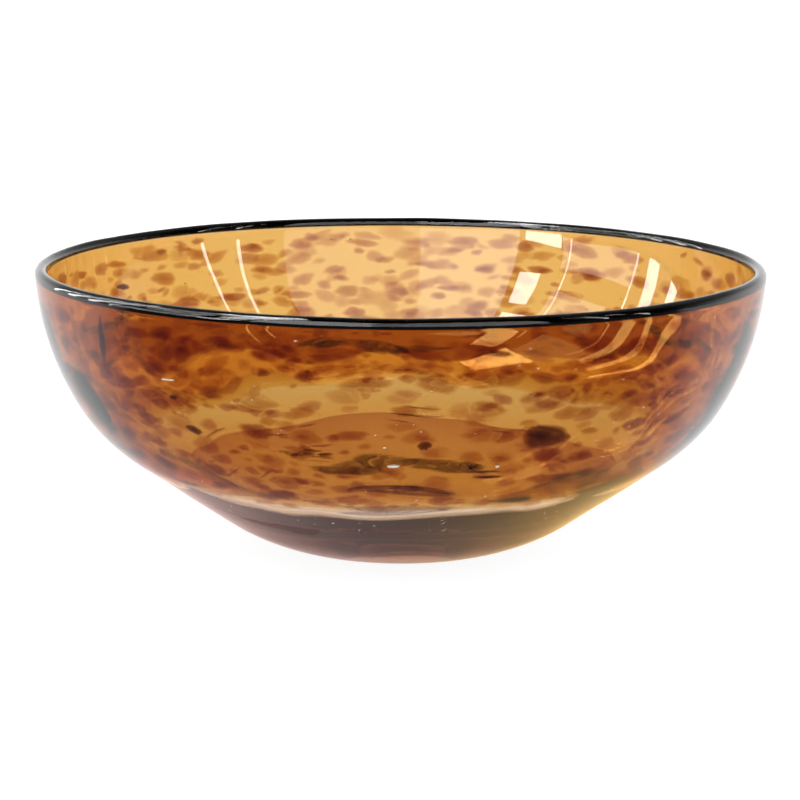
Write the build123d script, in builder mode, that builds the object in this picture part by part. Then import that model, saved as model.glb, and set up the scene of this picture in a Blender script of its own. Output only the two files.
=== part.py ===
"""A hand-blown tortoiseshell glass bowl, built up gather by gather.

The first gather of clear glass is the inside of the bowl. An amber overlay goes round its wall, with chips of
coloured frit and long dark trails melted into it. A pale smoke casing is gathered over the amber, and a last
gather of mauve-grey glass makes the base heavy. A charcoal thread is wrapped on the lip.

Frame: the origin is the centre of the ring that the bowl stands on, +Z is the bowl's axis, towards the lip.
"""

import os
import random
from math import cos, pi, radians, sin, tan

from build123d import *

# Driving dimensions, in millimetres and degrees.
rim_radius = 140.0
height = 111.0
wall = 5.0
floor_thickness = 11.0
foot_radius = 52.4  # where the straight runs of the base and the flank would meet
flank_angle = 35.7
brow_angle = 61.2
rim_angle = 85.3
brow_height = 82.1  # where the straight runs above and below the brow would meet
foot_bend = 73.0
shoulder_bend = 64.2
brow_bend = 110.0
inner_foot_bend = 150.0  # the inside is much rounder than the foot, which is what makes the base heavy

# The surfaces between the gathers: how deep inside the skin, how high their floor is, and their foot bend.
casing_depth, casing_floor, casing_bend = 2.3, 6.0, 130.0
amber_depth, amber_floor, amber_bend = 3.8, 8.0, 140.0
amber_hole = 104.0  # the amber stops at this radius, and the floor of the bowl has none

# The last gather, under the base, and the hollow ground into it.
base_gather_height = 5.0
base_gather_flat = 46.0  # beyond this radius its top rises, and it meets the skin in a feather edge
base_gather_slope = 26.0
hollow_radius = 24.0
hollow_depth = 2.0

# The thread round the lip: a straight collar under a half-round bead.
collar = 1.0

# Frit chips and trails, flat inside the amber.
chip_thickness = 0.5
ring_pitch = 10.5  # down the wall, from one ring of chips to the next
chip_pitch = 26.0  # round the wall, from one chip to the next
top_ring = 8.0  # how far the highest ring is below the lip
ring_count = 7
chip_lengths = (8.0, 13.5)
chip_widths = (4.0, 7.2)
chip_tilts = (-9.0, 9.0)  # in degrees, from level
ring_wander = 1.2  # how far a chip strays up or down from its ring
chip_wander = 0.12  # how far it strays round the wall, as a share of the step to the next chip
top_stretch = 1.25  # the wall is spun out most near the lip, so a chip there is longer and narrower
stretch_loss = 0.35  # how much of that stretch is gone at the lowest ring
speck_share = 0.5  # the scattered black chips are this much of a brown chip's size
colours = ["brown", "aubergine", "black", None]
colour_odds = [54, 36, 2, 8]  # in a hundred places, None being a place with no chip
trail_gap, trail_end_gap = 1.5, 1.0  # clear of a trail, across it and beyond its ends
bold_gap = 2.5  # clear of a bold chip, up and down
steep_tilt = 45.0  # a bold chip tilted more than this stands on end
bold_chips = [  # (colour, distance below the lip, azimuth, length, width, tilt)
    ("black", 40.2, -67.8, 15.0, 7.6, -10.0),
    ("aubergine", 13.3, -60.7, 12.0, 2.8, 3.0),
    ("black", 41.3, -123.3, 6.5, 3.0, -20.0),
    ("black", 42.1, -86.3, 4.2, 3.4, 0.0),
    ("black", 57.2, -75.4, 10.0, 1.7, 0.0),
    ("aubergine", 49.1, -66.1, 11.0, 6.6, -12.0),
    ("aubergine", 61.0, -63.8, 16.0, 4.4, 0.0),
    ("brown", 16.9, -75.6, 14.5, 5.2, 0.0),
    ("aubergine", 16.7, -103.4, 8.0, 4.6, 0.0),
    ("aubergine", 25.4, -138.1, 15.0, 6.6, -10.0),
    ("black", 12.5, -138.8, 14.0, 3.2, 80.0),
]
trail_thickness = 0.5
trails = [  # (distance below the lip, azimuth of its middle, arc, width)
    (50.6, -89.5, 26.0, 4.4),
    (46.6, -104.5, 8.0, 1.8),
    (36.0, 22.0, 22.0, 2.4),
    (56.0, 95.0, 30.0, 3.0),
    (30.0, 160.0, 18.0, 2.0),
    (60.0, -152.0, 16.0, 2.2),
]

bead_radius = wall / 2
lip_height = height - bead_radius - collar


def crossing(point_a, angle_a, point_b, angle_b):
    """Where two straight runs in the section meet, each given by a point on it and its slope in degrees."""
    slope_a, slope_b = tan(radians(angle_a)), tan(radians(angle_b))
    x = (point_b[1] - point_a[1] + slope_a * point_a[0] - slope_b * point_b[0]) / (slope_a - slope_b)
    return x, point_a[1] + slope_a * (x - point_a[0])


def moved_in(point, angle, depth):
    """A point of the skin's run at this slope, moved square to the run and into the wall."""
    return point[0] - depth * sin(radians(angle)), point[1] + depth * cos(radians(angle))


def wall_path(depth, floor, bend):
    """The section of a surface of the wall, from the axis to the lip: straight runs joined by tangent arcs."""
    rim_foot = (rim_radius - (lip_height - brow_height) / tan(radians(rim_angle)), brow_height)
    flank = moved_in((foot_radius, 0), flank_angle, depth)
    brow = moved_in(rim_foot, brow_angle, depth)
    rim = moved_in(rim_foot, rim_angle, depth)
    corners = [
        (0, floor),
        crossing((0, floor), 0, flank, flank_angle),
        crossing(flank, flank_angle, brow, brow_angle),
        crossing(brow, brow_angle, rim, rim_angle),
        crossing((0, lip_height), 0, rim, rim_angle),
    ]
    return FilletPolyline(*corners, radius=[bend, shoulder_bend - depth, brow_bend - depth])


def gather(outside, inside):
    """The glass between two surfaces of the wall, each given as wall_path's depth, floor and foot bend."""
    with BuildPart() as glass:
        with BuildSketch(Plane.XZ):
            with BuildLine():
                outer = wall_path(*outside)
                inner = wall_path(*inside)
                Line(outer @ 0, inner @ 0)
                Line(outer @ 1, inner @ 1)
            make_face()
        revolve(axis=Axis.Z)
    return glass


skin = (0.0, 0.0, foot_bend)
under_amber = (casing_depth, casing_floor, casing_bend)
over_amber = (amber_depth, amber_floor, amber_bend)
inside = (wall, floor_thickness, inner_foot_bend)

# The line in the middle of the amber, along which chips and trails are seated.
with BuildLine(Plane.XZ) as middle:
    wall_path((casing_depth + amber_depth) / 2, (casing_floor + amber_floor) / 2, (casing_bend + amber_bend) / 2)
seat_line = middle.wires()[0]


def seat(below_lip, azimuth, tilt=0.0):
    """A plane flat in the amber, at a distance down the wall from the lip. Its X runs round the bowl."""
    share = 1 - below_lip / seat_line.length
    point, along = seat_line.position_at(share), seat_line.tangent_at(share)
    outward = Vector(along.Z, 0, -along.X)
    around = Vector(0, 1, 0) * cos(radians(tilt)) + along * sin(radians(tilt))
    return Plane(
        origin=point.rotate(Axis.Z, azimuth),
        x_dir=around.rotate(Axis.Z, azimuth),
        z_dir=outward.rotate(Axis.Z, azimuth),
    )


def is_taken(below_lip, azimuth, length, width):
    """True if a chip of this size would come near a bold chip or a trail."""
    radius = seat_line.position_at(1 - below_lip / seat_line.length).X
    for place, middle_azimuth, arc, band in trails:
        trail_length = radians(arc) * radius
        along = abs(radians((azimuth - middle_azimuth + 180) % 360 - 180)) * radius
        down = abs(below_lip - place)
        if down < (width + band) / 2 + trail_gap and along < (length + trail_length) / 2 + trail_end_gap:
            return True
    for _, place, middle_azimuth, bold_length, bold_width, tilt in bold_chips:
        bold_reach = bold_length if tilt > steep_tilt else bold_width
        along = abs(radians((azimuth - middle_azimuth + 180) % 360 - 180)) * radius
        down = abs(below_lip - place)
        if down < (width + bold_reach) / 2 + bold_gap and along < (length + bold_length) / 2:
            return True
    return False


def scattered_chips():
    """Where the frit landed: (colour, plane, length, width) of each chip, ring by ring down the wall."""
    chance = random.Random(27)
    chips = []
    for ring in range(ring_count):
        radius = seat_line.position_at(1 - (top_ring + ring * ring_pitch) / seat_line.length).X
        count = round(2 * pi * radius / chip_pitch)
        stretch = top_stretch - stretch_loss * ring / ring_count
        for place in range(count):
            azimuth = 360 * (place + 0.5 * (ring % 2) + chance.uniform(-chip_wander, chip_wander)) / count
            below_lip = top_ring + ring * ring_pitch + chance.uniform(-ring_wander, ring_wander)
            colour = chance.choices(colours, colour_odds)[0]
            length = chance.uniform(*chip_lengths) * stretch
            width = chance.uniform(*chip_widths) / stretch
            tilt = chance.uniform(*chip_tilts)
            if colour == "black":
                length, width = length * speck_share, width * speck_share
            if colour and not is_taken(below_lip, azimuth, length, width):
                chips.append((colour, seat(below_lip, azimuth, tilt), length, width))
    for colour, below_lip, azimuth, length, width, tilt in bold_chips:
        chips.append((colour, seat(below_lip, azimuth, tilt), length, width))
    return chips


def frit(colour, chips):
    """All the chips of one colour: flat ovals inside the amber."""
    with BuildPart() as group:
        for chip_colour, plane, length, width in chips:
            if chip_colour == colour:
                with BuildSketch(plane):
                    Ellipse(length / 2, width / 2)
        extrude(amount=chip_thickness / 2, both=True)
    return group


def dark_trails():
    """Long dark wisps that follow the wall round, each a thin band turned about the axis."""
    with BuildPart() as group:
        for below_lip, azimuth, arc, width in trails:
            section = seat(below_lip, azimuth - arc / 2)
            along_wall = Plane(origin=section.origin, x_dir=section.y_dir, z_dir=section.x_dir)
            with BuildSketch(along_wall):
                SlotOverall(width, trail_thickness)
            revolve(axis=Axis.Z, revolution_arc=arc)
    return group


chips = scattered_chips()
brown_frit = frit("brown", chips)
aubergine_frit = frit("aubergine", chips)
black_frit = frit("black", chips)
olive_trails = dark_trails()

first_gather = gather(over_amber, inside)

with BuildPart() as amber_floor_disc:
    Cylinder(amber_hole, height)

with BuildPart() as plain_overlay:
    add(gather(under_amber, over_amber).part)
    add(amber_floor_disc.part, mode=Mode.SUBTRACT)

with BuildPart() as amber_overlay:
    add(plain_overlay.part)
    for group in (brown_frit, aubergine_frit, black_frit, olive_trails):
        add(group.part, mode=Mode.SUBTRACT)

# A dish that holds the last gather, and the dome-shaped hollow in its underside.
dish_edge = 90.0
dish_rise = (dish_edge - base_gather_flat) * tan(radians(base_gather_slope))
dome_radius = (hollow_radius**2 + hollow_depth**2) / (2 * hollow_depth)
with BuildPart() as dish:
    with BuildSketch(Plane.XZ):
        Polygon(
            (0, 0),
            (dish_edge, 0),
            (dish_edge, base_gather_height + dish_rise),
            (base_gather_flat, base_gather_height),
            (0, base_gather_height),
            align=None,
        )
    revolve(axis=Axis.Z)

with BuildPart() as outer_casing:
    add(gather(skin, over_amber).part)
    add(plain_overlay.part, mode=Mode.SUBTRACT)
    add(dish.part, mode=Mode.SUBTRACT)

with BuildPart() as heavy_base:
    add(gather(skin, over_amber).part)
    add(dish.part, mode=Mode.INTERSECT)
    with BuildSketch(Plane.XZ):
        with BuildLine():
            RadiusArc((0, hollow_depth), (hollow_radius, 0), dome_radius)
            Line((hollow_radius, 0), (0, 0))
            Line((0, 0), (0, hollow_depth))
        make_face()
    revolve(axis=Axis.Z, mode=Mode.SUBTRACT)

# The lip thread sits on top of the three gathers.
lip_inside = rim_radius - wall / sin(radians(rim_angle))
with BuildPart() as lip_wrap:
    with BuildSketch(Plane.XZ):
        with BuildLine():
            Line((rim_radius, lip_height), (rim_radius, lip_height + collar))
            ThreePointArc(
                (rim_radius, lip_height + collar),
                ((rim_radius + lip_inside) / 2, height),
                (lip_inside, lip_height + collar),
            )
            Line((lip_inside, lip_height + collar), (lip_inside, lip_height))
            Line((lip_inside, lip_height), (rim_radius, lip_height))
        make_face()
    revolve(axis=Axis.Z)

nodes = {
    "first_gather": first_gather,
    "amber_overlay": amber_overlay,
    "brown_frit": brown_frit,
    "aubergine_frit": aubergine_frit,
    "black_frit": black_frit,
    "olive_trails": olive_trails,
    "outer_casing": outer_casing,
    "lip_wrap": lip_wrap,
    "heavy_base": heavy_base,
}
os.makedirs("parts", exist_ok=True)
for name, glass in nodes.items():
    glass.part.label = name
    export_step(glass.part, f"parts/{name}.step")
    print(name, len(glass.solids()), "solids", round(glass.part.volume / 1000, 1), "cm3")
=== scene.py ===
# %% [markdown]
# # A tortoiseshell bowl in blown glass
#
# The bowl is one fused piece of glass with coloured glass buried in it. A glassblower starts from a clear
# gather, rolls it in amber and in chips of dark frit, cases it in pale smoke glass, dips the bottom once more
# to make it heavy, and winds a charcoal thread on the lip. Light only bends where glass meets air, so here
# one closed skin does all the bending, and each coloured layer is a closed shape inside it that only takes
# light away.

import random
from math import atan2, cos, hypot, log, pi, radians, sin, tan

import bpy
import numpy as np
from mathutils import Matrix, Vector, noise


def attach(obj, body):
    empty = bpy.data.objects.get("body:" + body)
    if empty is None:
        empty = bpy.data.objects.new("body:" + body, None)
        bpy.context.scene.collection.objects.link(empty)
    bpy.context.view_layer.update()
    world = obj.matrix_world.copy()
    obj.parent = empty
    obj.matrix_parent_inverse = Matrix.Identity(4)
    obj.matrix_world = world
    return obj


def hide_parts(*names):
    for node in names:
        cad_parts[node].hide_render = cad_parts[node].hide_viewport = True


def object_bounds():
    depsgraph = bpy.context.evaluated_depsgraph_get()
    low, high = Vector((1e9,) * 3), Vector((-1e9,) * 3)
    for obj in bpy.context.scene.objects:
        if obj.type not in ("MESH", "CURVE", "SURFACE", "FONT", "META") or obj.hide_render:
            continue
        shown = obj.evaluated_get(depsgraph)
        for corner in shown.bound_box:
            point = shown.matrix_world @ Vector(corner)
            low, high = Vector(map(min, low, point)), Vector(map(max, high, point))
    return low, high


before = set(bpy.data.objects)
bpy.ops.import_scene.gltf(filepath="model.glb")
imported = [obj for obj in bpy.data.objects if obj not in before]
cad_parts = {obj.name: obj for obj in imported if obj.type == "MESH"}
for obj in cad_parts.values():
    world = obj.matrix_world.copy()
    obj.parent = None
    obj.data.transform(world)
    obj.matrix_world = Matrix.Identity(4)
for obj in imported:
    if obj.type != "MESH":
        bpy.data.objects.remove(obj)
cad_low, cad_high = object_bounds()
print("bowl", [round(1000 * side, 1) for side in cad_high - cad_low], "mm")

# %% [markdown]
# ## The section of the wall
#
# A turned form is known by its section. Every surface between two gathers is the same four straight runs,
# floor, flank, brow and rim, with tangent arcs between them, only deeper inside the wall. So the section is
# drawn by one function, from the same few sizes that the bowl was designed with, and the rim and the height
# come from the frame.

# %% Sizes of the wall
mm = 0.001
rim_radius = cad_high.x
height = cad_high.z
wall = 5.0 * mm
bead_radius = wall / 2
lip_height = height - bead_radius - 1.0 * mm
floor_height = 11.0 * mm
foot_radius = 52.4 * mm
brow_height = 82.1 * mm
slopes = {"flank": 35.7, "brow": 61.2, "rim": 85.3}
flank_bend = 64.2 * mm  # the radius of the skin's arc between flank and brow
brow_bend = 110.0 * mm
hollow_radius = 24.0 * mm
hollow_depth = 2.0 * mm
print("wall", wall / mm, "mm, floor", floor_height / mm, "mm, lip", round(lip_height / mm, 1), "mm up")


# %% Drawing a section
def crossing(point_a, slope_a, point_b, slope_b):
    """Where two straight runs of the section meet, each given by a point on it and its slope in degrees."""
    a, b = tan(radians(slope_a)), tan(radians(slope_b))
    x = (point_b[1] - point_a[1] + a * point_a[0] - b * point_b[0]) / (a - b)
    return x, point_a[1] + a * (x - point_a[0])


def rounded(corners, bends, step=1.4 * mm):
    """The points of a run through these corners, with an arc of each bend's radius at each one between."""
    points = [Vector(corners[0])]
    for before, corner, after, bend in zip(corners, corners[1:], corners[2:], bends):
        before, corner, after = Vector(before), Vector(corner), Vector(after)
        going, leaving = (corner - before).normalized(), (after - corner).normalized()
        turn = going.angle(leaving)
        first = corner - going * bend * tan(turn / 2)
        side = Vector((-going.y, going.x))
        straight = int((first - points[-1]).length / (3 * step)) + 1
        points += [points[-1].lerp(first, k / straight) for k in range(1, straight)]
        count = int(bend * turn / step) + 2
        for k in range(count):
            angle = turn * k / (count - 1)
            points.append(first + going * bend * sin(angle) + side * bend * (1 - cos(angle)))
    last = Vector(corners[-1])
    straight = int((last - points[-1]).length / step) + 1
    return points + [points[-1].lerp(last, (k + 1) / straight) for k in range(straight)]


def wall_section(depth, floor, foot_bend):
    """The section of a surface this deep in the skin: points (radius, height) from the axis to the lip."""
    rim_foot = (rim_radius - (lip_height - brow_height) / tan(radians(slopes["rim"])), brow_height)
    starts = {"flank": (foot_radius, 0), "brow": rim_foot, "rim": rim_foot}
    run = {}
    for name, (x, z) in starts.items():
        slope = radians(slopes[name])
        run[name] = ((x - depth * sin(slope), z + depth * cos(slope)), slopes[name])
    corners = [
        (0, floor),
        crossing((0, floor), 0, *run["flank"]),
        crossing(*run["flank"], *run["brow"]),
        crossing(*run["brow"], *run["rim"]),
        crossing((0, lip_height), 0, *run["rim"]),
    ]
    return rounded(corners, [foot_bend, flank_bend - depth, brow_bend - depth])


outside = wall_section(0, floor=0, foot_bend=73.0 * mm)
inside = wall_section(wall, floor_height, foot_bend=150.0 * mm)
print("section", len(outside), "points outside and", len(inside), "inside")
print("rim radius", round(outside[-1].x / mm, 2), "mm")

# %% [markdown]
# ## Turning a section
#
# In the viewport this is how a lathe shape is drawn: one point is extruded along the outline, and Spin
# carries the outline round the axis. Merging the doubles closes the seam and the poles, and then the normals
# are made to agree. A Screw modifier would do the same and stay live, but nothing here needs it live.

# %% Drawing an outline and spinning it
def select_only(piece=None):
    """Leaves edit mode and selects this piece alone, or nothing."""
    if bpy.context.object and bpy.context.object.mode != "OBJECT":
        bpy.ops.object.mode_set(mode="OBJECT")
    bpy.ops.object.select_all(action="DESELECT")
    if piece:
        piece.select_set(True)
        bpy.context.view_layer.objects.active = piece


def start_piece(name, add, **settings):
    """Adds a primitive by its operator, names it, and gives it back."""
    select_only()
    add(**settings)
    piece = bpy.context.object
    piece.name = piece.data.name = name
    return piece


def turned(name, outline, steps):
    """A closed turned shape. The outline ends on the axis at both ends, or where it began."""
    start = (outline[0].x, 0, outline[0].y)
    piece = start_piece(name, bpy.ops.mesh.primitive_plane_add, size=mm, location=(0, 0, 0))
    bpy.ops.object.mode_set(mode="EDIT")
    bpy.ops.mesh.select_all(action="SELECT")
    bpy.ops.mesh.merge(type="CENTER")
    bpy.ops.transform.translate(value=start)
    for here, there in zip(outline, outline[1:]):
        step = {"value": (there.x - here.x, 0, there.y - here.y)}
        bpy.ops.mesh.extrude_region_move(TRANSFORM_OT_translate=step)
    bpy.ops.mesh.select_all(action="SELECT")
    bpy.ops.mesh.remove_doubles(threshold=1e-7)
    bpy.ops.mesh.select_all(action="SELECT")
    bpy.ops.mesh.spin(steps=steps, angle=2 * pi, center=(0, 0, 0), axis=(0, 0, 1))
    bpy.ops.mesh.select_all(action="SELECT")
    bpy.ops.mesh.remove_doubles(threshold=2e-6)
    bpy.ops.mesh.normals_make_consistent(inside=False)
    bpy.ops.object.mode_set(mode="OBJECT")
    bpy.ops.object.shade_smooth()
    print(name, len(piece.data.polygons), "faces")
    return piece


# %% [markdown]
# ## What each glass does to light
#
# Coloured glass is described the way a glass merchant's sample is: the colour that white light has after
# passing through so many millimetres. Beer's law turns that into absorption for each of red, green and blue.
# The skin is glass with an index of 1.5, and its fire-polished face has no roughness. The layers inside are
# melted to it, with no gap, so light goes straight into them: their surface is plain Transparent, and all
# they have is absorption. A Principled surface on each layer would bend light where the real glass doesn't.

# %% Colours and nodes
def linear(code):
    """The linear colour of an sRGB hex value."""
    parts = [int(code[k : k + 2], 16) / 255 for k in (1, 3, 5)]
    return [part / 12.92 if part <= 0.04045 else ((part + 0.055) / 1.055) ** 2.4 for part in parts]


def add_node(tree, kind, settings=None, **inputs):
    """Adds a node. Settings are its own properties, and each input is a value or another node's socket.

    An input goes by its name, with _ for a space, or by _ and its number where names repeat.
    """
    made = tree.nodes.new(kind)
    for name, value in (settings or {}).items():
        setattr(made, name, value)
    for name, value in inputs.items():
        socket = made.inputs[int(name[1:])] if name[0] == "_" else made.inputs[name.replace("_", " ")]
        if isinstance(value, bpy.types.NodeSocket):
            tree.links.new(value, socket)
        else:
            socket.default_value = value
    return made


def absorption(tree, passed, thickness):
    """A Volume Absorption node for glass that leaves white light this colour after this thickness."""
    loss = [-log(part) / thickness for part in linear(passed)]
    most = max(loss)
    colour = [1 - part / most for part in loss] + [1]
    return add_node(tree, "ShaderNodeVolumeAbsorption", Color=colour, Density=most)


def new_material(name):
    """An empty material with nodes, and its output node."""
    material = bpy.data.materials.new(name)
    material.use_nodes = True
    material.node_tree.nodes.clear()
    return material, add_node(material.node_tree, "ShaderNodeOutputMaterial")


def melted_in(name, passed, thickness):
    """Glass that is buried in other glass: it bends no light and only absorbs some of it."""
    material, out = new_material(name)
    tree = material.node_tree
    clear = add_node(tree, "ShaderNodeBsdfTransparent", Color=(1, 1, 1, 1))
    tree.links.new(clear.outputs[0], out.inputs["Surface"])
    tree.links.new(absorption(tree, passed, thickness).outputs[0], out.inputs["Volume"])
    material.diffuse_color = (*linear(passed), 0.6)
    return material


def fire_polished(name, passed, thickness):
    """Glass with an air face, smooth because the flame melts every scratch away."""
    material, out = new_material(name)
    tree = material.node_tree
    glass = add_node(
        tree,
        "ShaderNodeBsdfPrincipled",
        Base_Color=(1, 1, 1, 1),
        Roughness=0.0,
        IOR=1.5,
        Transmission_Weight=1.0,
    )
    tree.links.new(glass.outputs[0], out.inputs["Surface"])
    tree.links.new(absorption(tree, passed, thickness).outputs[0], out.inputs["Volume"])
    return material


def cover(piece, material):
    """Gives a piece its one material."""
    piece.data.materials.clear()
    piece.data.materials.append(material)


print("half grey is", [round(part, 3) for part in linear("#808080")], "linear")

# %% [markdown]
# ## The skin: all the glass that meets air
#
# The outline runs up the outside, over the half-round bead of the lip, down the inside and, underneath, into
# the shallow hollow that was ground where the bowl was cracked off its iron. It stands for the clear first
# gather and for the smoke casing, which are one mass once they are fused.

# %% The skin's outline
def hollow_height(radius):
    """The height of the ground hollow over the table, at a radius inside it."""
    dome = (hollow_radius**2 + hollow_depth**2) / (2 * hollow_depth)
    return hollow_depth - dome + (dome**2 - radius**2) ** 0.5


def hollow_outline(steps=10):
    """The hollow under the base, from the axis to the standing ring."""
    radii = [hollow_radius * k / steps for k in range(steps)]
    return [Vector((radius, hollow_height(radius))) for radius in radii]


def bead_outline(radius, steps=18):
    """The half-round bead of the lip, from its outer side to its inner side."""
    turns = [pi * k / steps for k in range(steps + 1)]
    middle, level = rim_radius - bead_radius, height - bead_radius
    return [Vector((middle + radius * cos(turn), level + radius * sin(turn))) for turn in turns]


standing_ring = [point for point in outside if point.x > hollow_radius + mm]
skin_outline = hollow_outline() + [Vector((hollow_radius, 0))] + standing_ring
skin_outline += bead_outline(bead_radius) + inside[::-1]
smoke_glass_skin = turned("smoke_glass_skin", skin_outline, steps=240)

# %% [markdown]
# ## A slow ripple
#
# Glass blown by hand is never quite even, and a bowl without that looks pressed: its reflections are too
# straight. Displace moves the skin by a very slow cloud pattern, a fraction of a millimetre high. A vertex
# group keeps the foot still, so that the bowl still stands flat, and lets the whole inside move. A bump map
# would be cheaper, but glass bends light by its true shape.

# %% Displacing the skin above its foot
foot_still = 4 * mm  # below this height the outside keeps its shape
foot_free = 30 * mm  # and above this one it moves in full
ripple_grip = smoke_glass_skin.vertex_groups.new(name="above_foot")
for vertex in smoke_glass_skin.data.vertices:
    is_inside = vertex.normal.z > 0.2 and vertex.co.z > floor_height - mm
    lift = 1 if is_inside else min(max((vertex.co.z - foot_still) / (foot_free - foot_still), 0), 1)
    ripple_grip.add([vertex.index], lift * lift * (3 - 2 * lift), "REPLACE")
ripple_pattern = bpy.data.textures.new("slow_ripple", "CLOUDS")
ripple_pattern.noise_scale = 45 * mm
ripple_pattern.noise_depth = 1
select_only(smoke_glass_skin)
ripple = smoke_glass_skin.modifiers.new("ripple", "DISPLACE")
ripple.texture = ripple_pattern
ripple.strength = 0.7 * mm
ripple.mid_level = 0.5
ripple.vertex_group = "above_foot"
bpy.ops.object.modifier_apply(modifier="ripple")
# Soda-lime glass with a trace of smoke: nearly colourless, mirror smooth, and warm grey where it is thick.
cover(smoke_glass_skin, fire_polished("pale smoke glass, fire polished", "#F3EEEA", 10 * mm))
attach(smoke_glass_skin, "root")
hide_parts("outer_casing", "first_gather")
print("rippled skin", [round(side / mm, 2) for side in smoke_glass_skin.dimensions], "mm")

# %% [markdown]
# ## The amber overlay
#
# The amber is a shell 1.5 mm thick in the middle of the wall. It starts under the lip thread and thins out
# to a feather edge where the flank runs into the heavy base. Solidify can't thin a shell out, so its outline
# is drawn round the line in the middle of the amber: up one side of it and back down the other, by half the
# amber's thickness at each place.

# %% The line in the middle of the amber
amber_depth = 3.05 * mm  # from the skin's outside to the middle of the amber
amber_line = wall_section(amber_depth, floor=7.0 * mm, foot_bend=135.0 * mm)
amber_thickness = 1.5 * mm
amber_low = 100.0 * mm  # the radius where the feather edge begins, a little below the square edge in CAD
amber_fade = 10.0 * mm  # the amber grows to its full thickness over this
feather = 0.02  # the share of its thickness that the edge starts with, so that the shell stays closed
below_lip = [0.0]
for there, here in zip(amber_line[::-1], amber_line[-2::-1]):
    below_lip.append(below_lip[-1] + (there - here).length)
below_lip = below_lip[::-1]
print("from the lip to the axis", round(below_lip[0] / mm), "mm along the amber's line")


# %% The shell round that line
def across(line, k):
    """The unit vector square to a line at its point k, pointing out of the bowl."""
    along = line[min(k + 1, len(line) - 1)] - line[max(k - 1, 0)]
    return Vector((along.y, -along.x)).normalized()


def shell_outline(line, thickness_at):
    """A closed outline round a line, by half the thickness at each of its points."""
    places = [(point, across(line, k), thickness_at(point) / 2) for k, point in enumerate(line)]
    places = [place for place in places if place[2] > 0]
    outer = [point + normal * half for point, normal, half in places]
    inner = [point - normal * half for point, normal, half in places]
    return outer + inner[::-1] + outer[:1]


def amber_at(point):
    """How thick the amber is at a point of its line."""
    if point.x < amber_low:
        return 0
    grown = min(max((point.x - amber_low) / amber_fade, feather), 1)
    return amber_thickness * grown


amber_shell = turned("amber_overlay_shell", shell_outline(amber_line, amber_at), steps=160)
# Amber takes blue first and then green, so one layer of it is honey and two layers in line are deep orange.
cover(amber_shell, melted_in("amber overlay glass", "#DFB163", amber_thickness))
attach(amber_shell, "root")
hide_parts("amber_overlay")

# %% [markdown]
# ## The heavy base
#
# The last gather under the bottom is mauve-grey glass that reaches the outside. The skin already has the face
# that meets air there, so the base is a core about a tenth of a millimetre inside it. Cutting it out of the
# skin would leave two faces in one place, which Cycles can't tell apart.

# %% The mauve-grey gather under the base
skin_gap = 0.12 * mm
base_flat = 46.0 * mm  # the radius of the flat middle of its upper side
base_reach = 91.0 * mm  # the radius where it ends, up the flank
base_thickness = 5.0 * mm
base_rise = radians(26.0)  # the slope of its upper side past the flat


def height_outside(radius):
    """The height over the table of the outside of the wall, at this radius."""
    return float(np.interp(radius, [point.x for point in outside], [point.y for point in outside]))


def under_skin(radius):
    """The height of the skin over the table at this radius, with the gap that the core keeps from it."""
    hollow = hollow_height(radius) if radius < hollow_radius else 0
    return max(height_outside(radius), hollow) + skin_gap


base_edge = Vector((base_reach, base_thickness + (base_reach - base_flat) * tan(base_rise)))
base_outline = [Vector((k * mm, under_skin(k * mm))) for k in range(round(base_reach / mm))]
base_outline += [base_edge, Vector((base_flat, base_thickness)), Vector((0, base_thickness))]
mauve_base = turned("mauve_base_gather", base_outline, steps=128)
# A pale mauve glass: a hint of rose-grey that only shows where light runs along the base, not straight down.
cover(mauve_base, melted_in("mauve-grey base glass", "#F9F3F3", 10 * mm))
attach(mauve_base, "root")
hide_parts("heavy_base")

# %% [markdown]
# ## The lip thread
#
# A bit of charcoal glass was trailed round the lip while it was hot, and the fire drew it round. It is the
# darkest glass in the bowl, so it draws the rim as a line. It is a ring inside the bead of the skin, turned
# from its section like the rest, because a bevelled circle couldn't follow the bead that closely.

# %% The charcoal thread on the lip
thread_low = lip_height + 0.05 * mm
thread_width = 3.4 * mm  # it lies over the outer side of the lip, and the inner side stays pale
thread_inner = rim_radius - thread_width
over_top = [point for point in bead_outline(bead_radius - skin_gap) if point.x > thread_inner]
thread_outline = [Vector((rim_radius - skin_gap, thread_low))] + over_top
thread_outline += [Vector((thread_inner, over_top[-1].y)), Vector((thread_inner, thread_low))]
charcoal_thread = turned("charcoal_lip_thread", thread_outline + thread_outline[:1], steps=160)
# Charcoal is a brown-grey glass so strong that a few millimetres of it look black.
cover(charcoal_thread, melted_in("charcoal thread glass", "#625A50", 1 * mm))
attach(charcoal_thread, "root")
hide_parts("lip_wrap")

# %% [markdown]
# ## Melted frit
#
# A frit chip starts as a splinter and melts to a soft-edged lens. Absorption follows thickness, so a lens is
# darkest in its middle and has no hard rim. A colour pattern inside the amber could only be flat, and these
# have depth. A few lenses are modelled, of few faces because there will be over a thousand, and each has its
# own wavering outline.

# %% A handful of lenses
chance = random.Random(41)
lens_count = 6


def new_lens(number):
    """A flat round lens 2 wide and 1 thick, with a wavering outline and a feathered rim."""
    sphere = bpy.ops.mesh.primitive_uv_sphere_add
    lens = start_piece(f"lens_{number}", sphere, segments=16, ring_count=4, radius=1)
    for vertex in lens.data.vertices:
        x, y, z = vertex.co
        out = hypot(x, y)
        turn = atan2(y, x)
        wander = 1 + 0.34 * noise.noise(Vector((1.3 * cos(turn), 1.3 * sin(turn), 7.1 * number)))
        wander += 0.2 * noise.noise(Vector((3.1 * cos(turn), 3.1 * sin(turn), 3.7 * number)))
        hill = 0.5 * (1 - out**2.6) * (1 if z > 0 else -1) if out < 1 else 0
        vertex.co = (x * wander, y * wander, hill)
    return lens


lenses = [new_lens(number) for number in range(lens_count)]
print(len(lenses), "lenses of", len(lenses[0].data.polygons), "faces")

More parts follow.
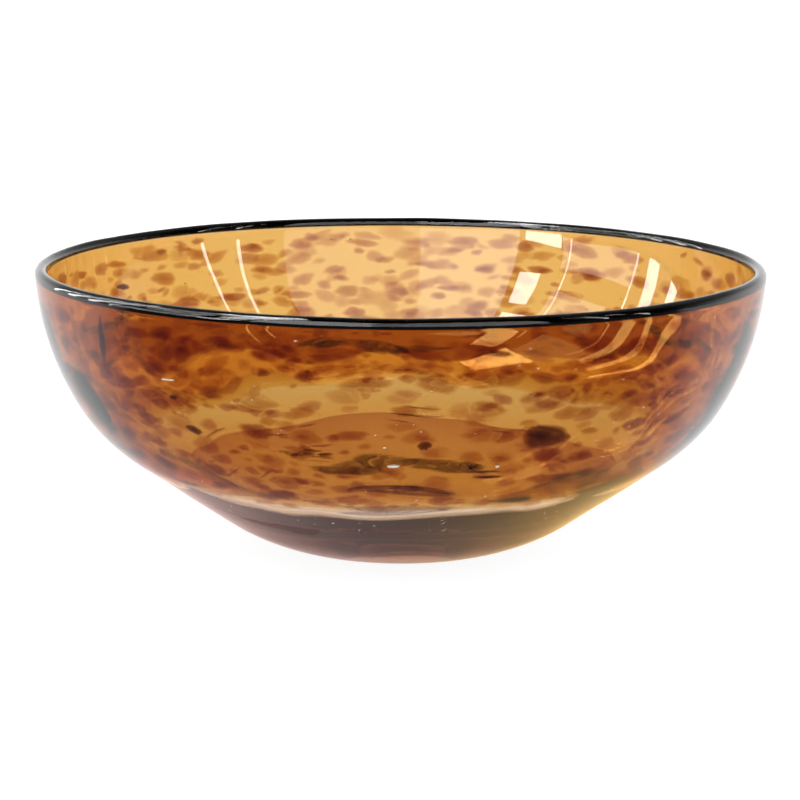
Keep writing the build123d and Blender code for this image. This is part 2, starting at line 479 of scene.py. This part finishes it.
# %% [markdown]
# ## Where the chips are
#
# The CAD model has a flat oval for each chip, all of one colour in one node. Separate by loose parts takes
# them apart again, and each is then measured in the plane of the wall: its middle, its size both ways, and
# how far it leans. Chips placed by hand would drift away from the model that the bowl is made from.

# %% Measuring the chips of a CAD node
def wall_axes(place):
    """Three unit vectors at a place in the wall: out of it, round it and up it."""
    radii = np.array([point.x for point in amber_line])
    heights = np.array([point.y for point in amber_line])
    k = int(np.argmin((radii - hypot(place.x, place.y)) ** 2 + (heights - place.z) ** 2))
    out = across(amber_line, k)
    turn = atan2(place.y, place.x)
    outward = Vector((out.x * cos(turn), out.x * sin(turn), out.y))
    round_wall = Vector((-sin(turn), cos(turn), 0))
    return outward, round_wall, outward.cross(round_wall) * -1


def chips_in(node):
    """The centre, half length, half width and tilt of each chip of a CAD node, from its loose parts."""
    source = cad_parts[node]
    copy = source.copy()
    copy.data = source.data.copy()
    copy.parent = None
    bpy.context.collection.objects.link(copy)
    select_only(copy)
    bpy.ops.object.mode_set(mode="EDIT")
    bpy.ops.mesh.select_all(action="SELECT")
    bpy.ops.mesh.remove_doubles(threshold=1e-6)
    bpy.ops.mesh.separate(type="LOOSE")
    bpy.ops.object.mode_set(mode="OBJECT")
    chips = []
    for part in list(bpy.context.selected_objects):
        points = np.array([vertex.co[:] for vertex in part.data.vertices])
        centre = (points.max(axis=0) + points.min(axis=0)) / 2
        _, round_wall, up_wall = wall_axes(Vector(centre))
        spread = (points - centre) @ np.array([round_wall[:], up_wall[:]]).T
        short_and_long = np.linalg.eigh(np.cov(spread.T))[1]
        tilt = atan2(short_and_long[1, 1], short_and_long[0, 1])
        short, long = np.ptp(spread @ short_and_long, axis=0)
        chips.append((Vector(centre), long / 2, short / 2, tilt))
        bpy.data.objects.remove(part)
    return chips


cad_chips = {node: chips_in(node) for node in ("brown_frit", "aubergine_frit", "black_frit", "olive_trails")}
for node, chips in cad_chips.items():
    print(node, len(chips), "chips, the longest", round(2 * max(chip[1] for chip in chips) / mm, 1), "mm")

# %% [markdown]
# ## Laying lenses in the wall
#
# Each chip is a copy of a lens with its own mesh, scaled, turned flat to the wall and moved into place in one
# go, and Join then makes one piece of each colour. The CAD chips are first, and then smaller crumbs are
# strewn between them by chance: short and close to round low down, long and thin near the lip, where the
# glass was stretched most. The three colours lie at slightly different depths, as they were rolled on.

# %% Copies of the lenses, and one layer of frit
chip_thickness = 0.75 * mm
crumbs_from = 3 * mm  # below the lip, along the wall
crumbs_over = 76 * mm


def place_in_wall(distance, azimuth, depth=0.0):
    """A point on the amber's line this far below the lip, moved this far out of the wall."""
    k = int(np.argmin(np.abs(np.array(below_lip) - distance)))
    point = amber_line[k] + across(amber_line, k) * depth
    return Vector((point.x * cos(azimuth), point.x * sin(azimuth), point.y))


def laid(source, place, half_length, half_width, tilt, thickness):
    """A copy of a lens, flat to the wall at a place. Its long way runs round the bowl, but for the tilt."""
    lens = bpy.data.objects.new("chip", source.data.copy())
    outward, round_wall, up_wall = wall_axes(place)
    long_way = round_wall * cos(tilt) + up_wall * sin(tilt)
    short_way = outward.cross(long_way)
    turned_axes = Matrix((long_way * half_length, short_way * half_width, outward * thickness)).transposed()
    lens.data.transform(Matrix.Translation(place) @ turned_axes.to_4x4())
    bpy.context.collection.objects.link(lens)
    return lens


def joined(name, lenses_laid):
    """All these lenses as one piece."""
    select_only(lenses_laid[0])
    for lens in lenses_laid:
        lens.select_set(True)
    bpy.ops.object.join()
    piece = bpy.context.object
    piece.name = piece.data.name = name
    bpy.ops.object.shade_smooth()
    print(name, len(lenses_laid), "copies,", len(piece.data.polygons), "faces")
    return piece


def frit_layer(name, node, depth, crumbs=0, size=mm):
    """The chips of a CAD node as lenses, with this many smaller crumbs between them, all at one depth."""
    made = []
    for centre, half_length, half_width, tilt in cad_chips[node]:
        place = centre + wall_axes(centre)[0] * depth
        swell = chance.uniform(1.0, 1.35)  # a lens is thin at its rim, so it looks smaller than a flat chip
        source = lenses[chance.randrange(lens_count)]
        made.append(laid(source, place, half_length * swell, half_width * swell, tilt, chip_thickness))
    for _ in range(crumbs):
        low_down = chance.random() ** 0.9  # 0 under the lip and 1 at the lowest, a little denser low down
        azimuth = chance.uniform(0, 2 * pi)
        place = place_in_wall(crumbs_from + crumbs_over * low_down, azimuth, depth)
        half_length = size * chance.uniform(0.5, 1.5) * (1.25 - 0.5 * low_down)
        half_width = half_length * chance.uniform(0.28, 0.5) * (1 + 0.7 * low_down)
        tilt = radians(chance.gauss(0, 9))  # the spinning laid them nearly level
        source = lenses[chance.randrange(lens_count)]
        thickness = chance.uniform(0.25, 0.6) * mm
        made.append(laid(source, place, half_length, half_width, tilt, thickness))
    return joined(name, made)


# %% Brown, aubergine and black frit
brown_chips = frit_layer("brown_frit_chips", "brown_frit", 0.1 * mm, crumbs=760, size=4.6 * mm)
aubergine_chips = frit_layer("aubergine_frit_chips", "aubergine_frit", -0.35 * mm, crumbs=460, size=3.9 * mm)
black_chips = frit_layer("black_frit_chips", "black_frit", 0.4 * mm)
frit_glass = 0.6 * mm  # the thickness that each colour is given for
# Brown frit over amber gives tortoiseshell, aubergine a cooler plum, and black the few bold dark spots.
cover(brown_chips, melted_in("brown frit glass", "#D0AC92", frit_glass))
cover(aubergine_chips, melted_in("aubergine frit glass", "#C79FA0", frit_glass))
cover(black_chips, melted_in("black frit glass", "#805F54", frit_glass))
for piece, colour in ((brown_chips, "brown"), (aubergine_chips, "aubergine"), (black_chips, "black")):
    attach(piece, "root")
    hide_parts(colour + "_frit")

# %% [markdown]
# ## Olive trails
#
# A trail is a dark chip that was smeared as the bowl was spun out: a long wisp that swells and thins. One
# stretched lens would look like a cigar, so each is drawn as overlapping lenses along the CAD trail. Their
# line wavers, and they are narrow at the ends, where the trail fades.

# %% Wisps along the trails
lenses_a_trail = 14
layer_gap = 0.12 * mm  # between lenses that overlap, so that no two lie in one plane
wisps = []
for centre, half_length, half_width, _ in cad_chips["olive_trails"]:
    from_axis = hypot(centre.x, centre.y)
    azimuth = atan2(centre.y, centre.x)
    nearest = int(np.argmin([hypot(point.x - from_axis, point.y - centre.z) for point in amber_line]))
    for k in range(lenses_a_trail):
        share = (k + 0.5) / lenses_a_trail * 2 - 1  # from -1 at one end to 1 at the other
        along = azimuth + share * half_length / from_axis
        # The trail wavers slowly, each by its own phase, and chance shifts each lens a little.
        rise = half_width * (0.8 * sin(3.1 * share + azimuth * 5) + chance.uniform(-0.35, 0.35))
        place = place_in_wall(below_lip[nearest] + rise, along, layer_gap * (k % 4 - 1))
        swell = (1 - share * share) ** 0.5
        long = half_length * chance.uniform(0.16, 0.34)
        wide = half_width * chance.uniform(0.3, 1.0) * (0.3 + swell)
        tilt = chance.uniform(-0.1, 0.1)
        thickness = chance.uniform(0.3, 0.6) * mm
        wisps.append(laid(lenses[k % lens_count], place, long, wide, tilt, thickness))
olive_wisps = joined("olive_trail_wisps", wisps)
# Iron gives this glass its olive, which reads as nearly black over the amber and as green at its thin ends.
cover(olive_wisps, melted_in("olive trail glass", "#8F8262", 0.5 * mm))
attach(olive_wisps, "root")
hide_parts("olive_trails")

# %% [markdown]
# ## Cords in the base
#
# Gathers never mix quite evenly. The heavy base keeps faint level streaks of denser mauve glass, which
# glassblowers call cords. Noise in the base's own absorption would be the natural way, but an absorption
# colour has to be even for the model to travel, so long thin lenses are laid round the foot instead, just
# inside the skin.

# %% Streaks of denser glass round the foot
cord_count = 70
cord_thickness = 0.5 * mm


def place_in_foot(radius, azimuth, depth):
    """A point this far above the outside of the foot, at this radius."""
    return Vector((radius * cos(azimuth), radius * sin(azimuth), height_outside(radius) + depth))


cords = []
for _ in range(cord_count):
    azimuth = chance.uniform(0, 2 * pi)
    place = place_in_foot(chance.uniform(52, 92) * mm, azimuth, chance.uniform(1.2, 2.6) * mm)
    half_length = chance.uniform(5.0, 12.0) * mm
    half_width = chance.uniform(0.3, 1.3) * mm
    source = lenses[chance.randrange(lens_count)]
    tilt = radians(chance.gauss(0, 3))
    cords.append(laid(source, place, half_length, half_width, tilt, cord_thickness))
base_cords = joined("base_cords", cords)
# The same mauve as the base and much stronger, so that a streak half a millimetre thick can be seen.
cover(base_cords, melted_in("denser mauve glass", "#BFA9AE", 0.5 * mm))
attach(base_cords, "root")
for lens in lenses:
    bpy.data.objects.remove(lens)

# %% [markdown]
# ## Air seeds
#
# Hand-gathered glass traps air. A seed is a tiny bubble, drawn out round the bowl as it was spun. Its wall is
# a perfect mirror to light that meets it at a slant, so it shows as a bright silvery dot whatever is behind
# it. Here that dot is a painted highlight: a pale glossy skin gives the eye that dot by its own pale colour,
# where a true lens of air would take far more samples to flash.

# %% The painted glint of a seed
painted_seed_glint, seed_out = new_material("painted glint of an air seed")
# Its pale colour is a painted highlight, standing in for the flash of the bubble's mirror wall.
seed_face = add_node(
    painted_seed_glint.node_tree,
    "ShaderNodeBsdfPrincipled",
    Base_Color=linear("#FBF3E6") + [1],
    Roughness=0.2,
)
painted_seed_glint.node_tree.links.new(seed_face.outputs[0], seed_out.inputs["Surface"])

# %% Bubbles in the casing
small_seeds = 260
large_seeds = [  # distance below the lip in mm, azimuth in degrees, half length and half width in mm
    (22, -125.5, 3.2, 0.35),
    (50, -91.0, 2.2, 0.75),
    (52, -74.5, 0.8, 0.6),
]
bubble = start_piece("bubble", bpy.ops.mesh.primitive_ico_sphere_add, subdivisions=2, radius=1)
seeds = []
for _ in range(small_seeds):
    distance = (4 + 100 * chance.random()) * mm
    place = place_in_wall(distance, chance.uniform(0, 2 * pi), chance.uniform(0.9, 1.8) * mm)
    half_width = chance.uniform(0.09, 0.26) * mm
    half_length = half_width * chance.uniform(1.0, 3.0)
    seeds.append(laid(bubble, place, half_length, half_width, radians(chance.gauss(0, 5)), half_width))
for distance, azimuth, half_length, half_width in large_seeds:
    place = place_in_wall(distance * mm, radians(azimuth), 1.4 * mm)
    seeds.append(laid(bubble, place, half_length * mm, half_width * mm, radians(-4), half_width * mm))
air_seeds = joined("air_seeds", seeds)
cover(air_seeds, painted_seed_glint)
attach(air_seeds, "root")
bpy.data.objects.remove(bubble)

# %% [markdown]
# ## The table
#
# The bowl stands on a plain white table that is lit from within, as product tables of acrylic are, so it
# glows a little by itself. Glass shows its surroundings more than itself, and what the foot mirrors of this
# table is most of what the eye sees there. So the table has a second face of painted light, which only mirror
# reflections see: painted bright beyond the bowl and dark before it, a painted mauve pool near the foot on
# the left and a painted amber caustic on the right, as the light is that a coloured bowl throws round itself.
# Cycles could find that light by caustics, but only with thousands of samples.

# %% What mirrors see of the table, in painted light
smooth = {"interpolation_type": "SMOOTHSTEP"}
mix_colours = {"data_type": "RGBA"}
mix_numbers = {"data_type": "FLOAT"}
white = (1, 1, 1, 1)
floor = start_piece("floor", bpy.ops.mesh.primitive_plane_add, size=16, location=(0, 0, -0.06 * mm))
acrylic, acrylic_out = new_material("lit white acrylic table with painted mirror light")
tree = acrylic.node_tree
here = add_node(tree, "ShaderNodeTexCoord").outputs["Object"]
spot = add_node(tree, "ShaderNodeSeparateXYZ", Vector=here)
from_axis = add_node(tree, "ShaderNodeVectorMath", {"operation": "LENGTH"}, _0=here).outputs["Value"]
# Painted light for mirrors: dark before the bowl, bright beyond it, and brighter near the foot.
far_side = add_node(
    tree, "ShaderNodeMapRange", smooth, Value=spot.outputs["Y"], From_Min=-0.14, From_Max=0.04
)
near_foot = add_node(
    tree,
    "ShaderNodeMapRange",
    smooth,
    Value=from_axis,
    From_Min=0.09,
    From_Max=0.15,
    To_Min=0.42,
    To_Max=0.12,
)
brightness = add_node(
    tree, "ShaderNodeMath", {"operation": "ADD"}, _0=far_side.outputs[0], _1=near_foot.outputs[0]
)
right_side = add_node(
    tree, "ShaderNodeMapRange", smooth, Value=spot.outputs["X"], From_Min=-0.02, From_Max=0.07
)
# Painted light: a mauve pool by the foot on the left that turns to an amber caustic on the right.
painted_mauve_to_amber_light = add_node(
    tree,
    "ShaderNodeMix",
    mix_colours,
    Factor=right_side.outputs[0],
    _6=linear("#E2C3BC") + [1],
    _7=linear("#F3C682") + [1],
)
past_foot = add_node(tree, "ShaderNodeMapRange", smooth, Value=from_axis, From_Min=0.1, From_Max=0.16)
painted_mirror_colour = add_node(
    tree, "ShaderNodeMix", mix_colours, Factor=past_foot.outputs[0], _6=painted_mauve_to_amber_light.outputs[2], _7=white
)
painted_mirror_light = add_node(
    tree, "ShaderNodeEmission", Color=painted_mirror_colour.outputs[2], Strength=brightness.outputs[0]
)
print("mirrored table", len(tree.nodes), "nodes")

# %% What everything else sees of it
# White acrylic: matt, and lit so evenly from below that the bowl's own shadow on it is faint.
matt = add_node(tree, "ShaderNodeBsdfDiffuse", Color=(0.25, 0.25, 0.25, 1))
lit = add_node(tree, "ShaderNodeEmission", Color=white, Strength=0.9)
table_face = add_node(tree, "ShaderNodeAddShader", _0=matt.outputs[0], _1=lit.outputs[0])
ray = add_node(tree, "ShaderNodeLightPath")
table = add_node(
    tree,
    "ShaderNodeMixShader",
    _0=ray.outputs["Is Reflection Ray"],
    _1=table_face.outputs[0],
    _2=painted_mirror_light.outputs[0],
)
tree.links.new(table.outputs[0], acrylic_out.inputs["Surface"])
cover(floor, acrylic)
print("table", round(floor.dimensions.x), "m wide")

# %% [markdown]
# ## Warm light on the table
#
# A coloured bowl throws coloured light: a wide warm pool under itself, and a deeper amber one behind. Both
# are discs that lie on the table and are seen only by light that comes through glass, so they warm the lower
# wall, and the plain table beside the bowl stays white.

# %% Discs that only glass sees
def unseen(piece, to_glass=False):
    """A stage piece that only mirror reflections see, or only light that comes through glass."""
    piece.visible_camera = piece.visible_diffuse = piece.visible_shadow = False
    piece.visible_glossy = not to_glass
    piece.visible_transmission = to_glass


def amber_shadow(name, centre, half_x, half_y, soft, passed):
    """The bowl's warm light on the table: an ellipse, soft over this share of its radius at the edge."""
    disc = start_piece(name, bpy.ops.mesh.primitive_circle_add, vertices=96, radius=1, fill_type="NGON")
    above_table = Matrix.Translation((*centre, -0.03 * mm))
    disc.data.transform(above_table @ Matrix.Diagonal((half_x, half_y, 1, 1)))
    material, out = new_material("warm light in " + name)
    tree = material.node_tree
    here = add_node(tree, "ShaderNodeTexCoord").outputs["Object"]
    moved = add_node(tree, "ShaderNodeVectorMath", {"operation": "SUBTRACT"}, _0=here, _1=(*centre, 0))
    half_sizes = (half_x, half_y, 1)
    shares = add_node(
        tree, "ShaderNodeVectorMath", {"operation": "DIVIDE"}, _0=moved.outputs[0], _1=half_sizes
    )
    out_to = add_node(tree, "ShaderNodeVectorMath", {"operation": "LENGTH"}, _0=shares.outputs[0])
    edge = add_node(
        tree, "ShaderNodeMapRange", smooth, Value=out_to.outputs["Value"], From_Min=1 - soft, From_Max=1.0
    )
    colour = add_node(
        tree, "ShaderNodeMix", mix_colours, Factor=edge.outputs[0], _6=linear(passed) + [1], _7=white
    )
    glow = add_node(tree, "ShaderNodeEmission", Color=colour.outputs[2], Strength=1.0)
    tree.links.new(glow.outputs[0], out.inputs["Surface"])
    cover(disc, material)
    unseen(disc, to_glass=True)
    print(name, round(200 * half_x), "by", round(200 * half_y), "cm")


amber_shadow("shadow_under", (0, 0), 0.28, 0.28, 0.7, "#FFE6C0")
amber_shadow("shadow_behind", (-0.02, 0.42), 0.28, 0.09, 0.12, "#D5A366")

# %% [markdown]
# ## The room
#
# The white at eye level behind the bowl makes the amber glow, and the dark half of the room on the camera's
# side keeps the front wall free of reflections. An even white world would grey the glass all over. So the
# world is drawn by direction, and its brightness depends on what a ray is doing: lighting the table, coming
# through the glass, or being mirrored by it. Nothing here turns with the camera.

# %% Brightness by direction
room = bpy.data.worlds.new("room")
room.use_nodes = True
bpy.context.scene.world = room
tree = room.node_tree
tree.nodes.clear()
direction = add_node(tree, "ShaderNodeTexCoord").outputs["Generated"]
toward = add_node(tree, "ShaderNodeSeparateXYZ", Vector=direction).outputs
eye_level = add_node(
    tree,
    "ShaderNodeMapRange",
    smooth,
    Value=toward["Z"],
    From_Min=0.12,
    From_Max=0.9,
    To_Min=1.15,
    To_Max=0.45,
)
far_half = add_node(
    tree,
    "ShaderNodeMapRange",
    smooth,
    Value=toward["Y"],
    From_Min=-0.1,
    From_Max=0.7,
    To_Min=0.04,
    To_Max=1.2,
)
dim_above = add_node(
    tree,
    "ShaderNodeMapRange",
    smooth,
    Value=toward["Z"],
    From_Min=0.05,
    From_Max=0.5,
    To_Min=1.0,
    To_Max=0.2,
)
reflected = add_node(
    tree, "ShaderNodeMath", {"operation": "MULTIPLY"}, _0=far_half.outputs[0], _1=dim_above.outputs[0]
)
print("room", len(tree.nodes), "nodes for its brightness")

# %% Brightness by what the ray is doing
table_lighting = 1.5
backdrop = 1.2
ray = add_node(tree, "ShaderNodeLightPath").outputs
in_glass = add_node(
    tree,
    "ShaderNodeMix",
    mix_numbers,
    Factor=ray["Is Reflection Ray"],
    _2=eye_level.outputs[0],
    _3=reflected.outputs[0],
)
or_lighting = add_node(
    tree,
    "ShaderNodeMix",
    mix_numbers,
    Factor=ray["Is Diffuse Ray"],
    _2=in_glass.outputs[0],
    _3=table_lighting,
)
or_seen = add_node(
    tree,
    "ShaderNodeMix",
    mix_numbers,
    Factor=ray["Is Camera Ray"],
    _2=or_lighting.outputs[0],
    _3=backdrop,
)
glow = add_node(tree, "ShaderNodeBackground", Color=white, Strength=or_seen.outputs[0])
add_node(tree, "ShaderNodeOutputWorld", Surface=glow.outputs[0])
print("backdrop", backdrop, "and table lighting", table_lighting)

# %% [markdown]
# ## What the glass mirrors
#
# A fire-polished face is a mirror, and what it mirrors tells the eye that it is wet-looking and curved. The
# lights are plain glowing panels that only reflections see, so they add no light to the table. Two large
# soft ones stand on the camera's side. A window in three panes and its curtains stand to the left, with a
# skylight over them, and slim slats of blinds stand further round on both sides.

# %% A glowing panel
panel_distance = 2.5  # in metres, far enough for the bowl to mirror it small


def light_panel(name, azimuth, low, high, width, strength):
    """A glowing panel that faces the bowl, by its angles in degrees. Azimuth is to the left of the camera."""
    turn = radians(-90 - azimuth)
    top, bottom = panel_distance * tan(radians(high)), panel_distance * tan(radians(low))
    across_it = 2 * panel_distance * tan(radians(width / 2))
    middle = (panel_distance * cos(turn), panel_distance * sin(turn), (top + bottom) / 2)
    panel = start_piece(name, bpy.ops.mesh.primitive_plane_add, size=1)
    panel.data.transform(Matrix.Diagonal((across_it, top - bottom, 1, 1)))
    panel.data.transform(Matrix.Rotation(pi / 2, 4, "X"))
    panel.data.transform(Matrix.Rotation(turn + pi / 2, 4, "Z"))
    panel.data.transform(Matrix.Translation(middle))
    material, out = new_material("glow of " + name)
    light = add_node(material.node_tree, "ShaderNodeEmission", Color=white, Strength=strength)
    material.node_tree.links.new(light.outputs[0], out.inputs["Surface"])
    cover(panel, material)
    unseen(panel)
    print(name, round(across_it, 2), "by", round(top - bottom, 2), "m")


# %% The panels round the room
soft_panels = [("soft_panel", 25, 2, 52, 36, 4.0), ("pale_wall", -18, 2, 52, 50, 2.0)]
window_panes = [(53, 2, 8, 15), (50, 20, 34, 8), (53, 38, 60, 15)]  # azimuth, low, high and width
curtains = [(78, 4, 17, 34), (74, 26, 40, 26), (88, 44, 60, 30)]  # the same
blinds = [(64, 0.8), (94, 0.8), (104, 6), (116, 4), (127, 3), (-62, 1.5), (-76, 1.2)]  # azimuth and width
for soft_panel in soft_panels:
    light_panel(*soft_panel)
for azimuth, low, high, width in window_panes:
    light_panel(f"window_{low}", azimuth, low, high, width, strength=14.0)
for azimuth, low, high, width in curtains:
    light_panel(f"curtain_{low}", azimuth, low, high, width, strength=3.0)
light_panel("skylight", azimuth=84, low=60, high=74, width=34, strength=26.0)
for azimuth, width in blinds:
    light_panel(f"blind_{azimuth}", azimuth, low=2, high=50, width=width, strength=11.0)

# %% [markdown]
# ## Camera
#
# It looks across the bowl from a little above the lip, so the far wall shows over the near one. It stands at
# arm's length with a long lens, and looks a little below the lip, which leaves room under the foot. A Track
# To constraint could aim it, but a place and three angles say the same and stay still.

# %% Placing the camera
camera_distance = 0.8  # in metres from the middle of the lip
camera_elevation = radians(7.9)
tilt_down = radians(3.9)  # from the middle of the lip
roll = radians(0.27)
lip_centre = Vector((0, 0, height))
away = Vector((0, -cos(camera_elevation), sin(camera_elevation)))
camera_data = bpy.data.cameras.new("camera")
camera_data.lens = 92.6
camera_data.sensor_width = 36
camera_data.clip_start = 0.05
camera_data.clip_end = 40
camera = bpy.data.objects.new("camera", camera_data)
bpy.context.collection.objects.link(camera)
turned_down = Matrix.Rotation(pi / 2 - camera_elevation - tilt_down, 4, "X")
rolled = Matrix.Rotation(roll, 4, "Z")
camera.matrix_world = Matrix.Translation(lip_centre + away * camera_distance) @ turned_down @ rolled
bpy.context.scene.camera = camera
print("camera", [round(part, 3) for part in camera.matrix_world.translation], "m")

# %% [markdown]
# ## How far light is followed
#
# On its way through both walls a ray crosses the skin four times and each melted-in chip twice, and low in
# the bowl it is turned back inside the glass many times over. With too few bounces those places go black,
# which is the commonest fault in rendered glass. Transparent crossings have their own, larger, count.

# %% Bounces
scene = bpy.context.scene
scene.view_settings.view_transform = "Standard"
scene.cycles.max_bounces = 32
scene.cycles.transmission_bounces = 28
scene.cycles.glossy_bounces = 12
scene.cycles.transparent_max_bounces = 128
scene.cycles.caustics_refractive = True
scene.cycles.caustics_reflective = False
print("bounces", scene.cycles.max_bounces, "and", scene.cycles.transparent_max_bounces, "clear crossings")
